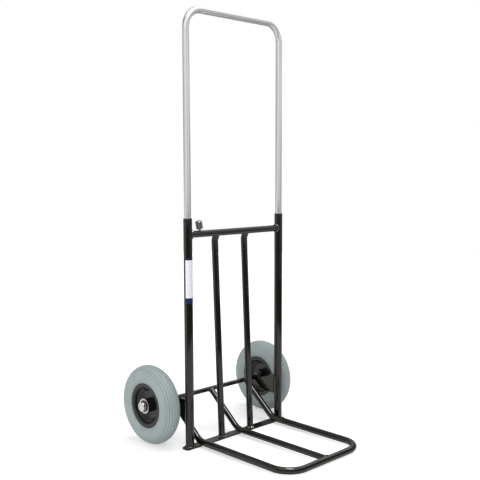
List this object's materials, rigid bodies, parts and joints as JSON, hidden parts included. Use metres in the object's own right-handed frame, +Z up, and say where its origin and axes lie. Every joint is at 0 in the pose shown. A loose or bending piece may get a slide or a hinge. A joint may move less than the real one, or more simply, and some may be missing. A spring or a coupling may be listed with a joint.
{
  "type": "folding hand truck",
  "caption": "Folding hand truck with a black tube frame, telescoping bright tube handle, fold-up tubular toe frame and grey ribbed tyres on black rims.",
  "frame": {"origin": "on the floor, under the middle of the base bar", "axes": "+Z up, +Y from the toe frame towards the wheels, +X to the right seen from the toe frame's side"},
  "size_m": [0.6076, 0.676, 1.396],
  "materials": {
    "black_paint": "satin",
    "bright_tube": "satin",
    "plated_steel": "polished",
    "spring_steel": "satin",
    "black_plastic": "matte",
    "grey_tyre": "matte",
    "black_rim": "satin"
  },
  "bodies": {
    "frame": {"post_left": "black_paint", "post_right": "black_paint", "upper_crossbar": "black_paint", "inner_bar_left": "black_paint", "inner_bar_right": "black_paint", "base_bar": "black_paint", "axle_bracket_left": "black_paint", "axle_bracket_right": "black_paint", "axle": "plated_steel", "axle_spacer_left": "plated_steel", "axle_spacer_right": "plated_steel", "axle_washers": "plated_steel", "axle_cap_left": "plated_steel", "axle_cap_right": "plated_steel", "lock_spring_stop": "plated_steel"},
    "handle": {"handle_tube": "bright_tube", "leg_plug_left": "black_plastic", "leg_plug_right": "black_plastic"},
    "lock": {"lock_bolt": "plated_steel", "lock_collar": "plated_steel", "lock_knob": "plated_steel", "lock_spring": "spring_steel"},
    "toe_frame": {"toe_hoop": "black_paint", "toe_middle_tube": "black_paint", "toe_pivot_tube": "black_paint"},
    "wheel_left": {"tyre_left": "grey_tyre", "rim_outer_left": "black_rim", "rim_inner_left": "black_rim", "hub_tube_left": "black_rim", "bearing_outer_left": "plated_steel", "bearing_inner_left": "plated_steel"},
    "wheel_right": {"tyre_right": "grey_tyre", "rim_outer_right": "black_rim", "rim_inner_right": "black_rim", "hub_tube_right": "black_rim", "bearing_outer_right": "plated_steel", "bearing_inner_right": "plated_steel"}
  },
  "joints": [
    {"name": "handle_slide", "type": "slide", "parent": "frame", "child": "handle", "axis": [0, 0, 1], "range_m": [-0.57, 0]},
    {"name": "toe_fold", "type": "hinge", "parent": "frame", "child": "toe_frame", "pos_m": [0, 0.13, 0.13], "axis": [-1, 0, 0], "range_deg": [0, 88]},
    {"name": "lock_slide", "type": "slide", "parent": "frame", "child": "lock", "axis": [1, 0, 0], "range_m": [0, 0.008], "stiffness_N_per_m": 800, "springref_m": -0.008, "deforming": ["lock_spring"]},
    {"name": "wheel_left_spin", "type": "hinge", "parent": "frame", "child": "wheel_left", "pos_m": [-0.2615, 0.13, 0.13], "axis": [1, 0, 0], "continuous": true},
    {"name": "wheel_right_spin", "type": "hinge", "parent": "frame", "child": "wheel_right", "pos_m": [0.2615, 0.13, 0.13], "axis": [1, 0, 0], "continuous": true}
  ]
}
